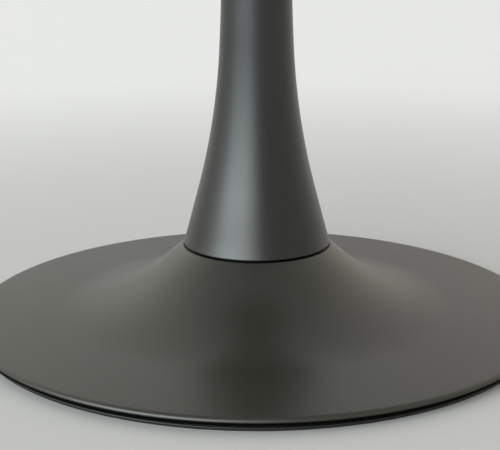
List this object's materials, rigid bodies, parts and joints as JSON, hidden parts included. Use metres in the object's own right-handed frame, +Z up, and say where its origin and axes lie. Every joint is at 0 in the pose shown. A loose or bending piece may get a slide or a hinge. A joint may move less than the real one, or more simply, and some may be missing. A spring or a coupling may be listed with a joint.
{
  "type": "pedestal table base",
  "caption": "Table base with a trumpet column that meets a wide flared round foot at a shadow gap, with a rolled edge on a floor ring and a screw plate on top.",
  "frame": {"origin": "on the floor under the column's axis", "axes": "+Z up along the column's axis, towards the table top; +X through one screw hole of the top plate"},
  "size_m": [0.6, 0.6, 0.72],
  "materials": {
    "black_coat": "satin black powder coat on steel",
    "black_rubber": "matt moulded rubber",
    "cast_iron": "as cast, with a thin dark primer",
    "zinc_steel": "bright zinc plate"
  },
  "bodies": {
    "root": {"foot_shell": "black_coat", "floor_ring": "black_rubber", "ballast": "cast_iron", "seat_ring": "black_coat", "column_shell": "black_coat", "column_foot_disc": "black_coat", "column_head_disc": "black_coat", "top_plate": "black_coat", "tie_rod": "zinc_steel", "clamp_washer": "zinc_steel", "spring_washer": "zinc_steel", "clamp_nut": "zinc_steel"}
  },
  "joints": []
}
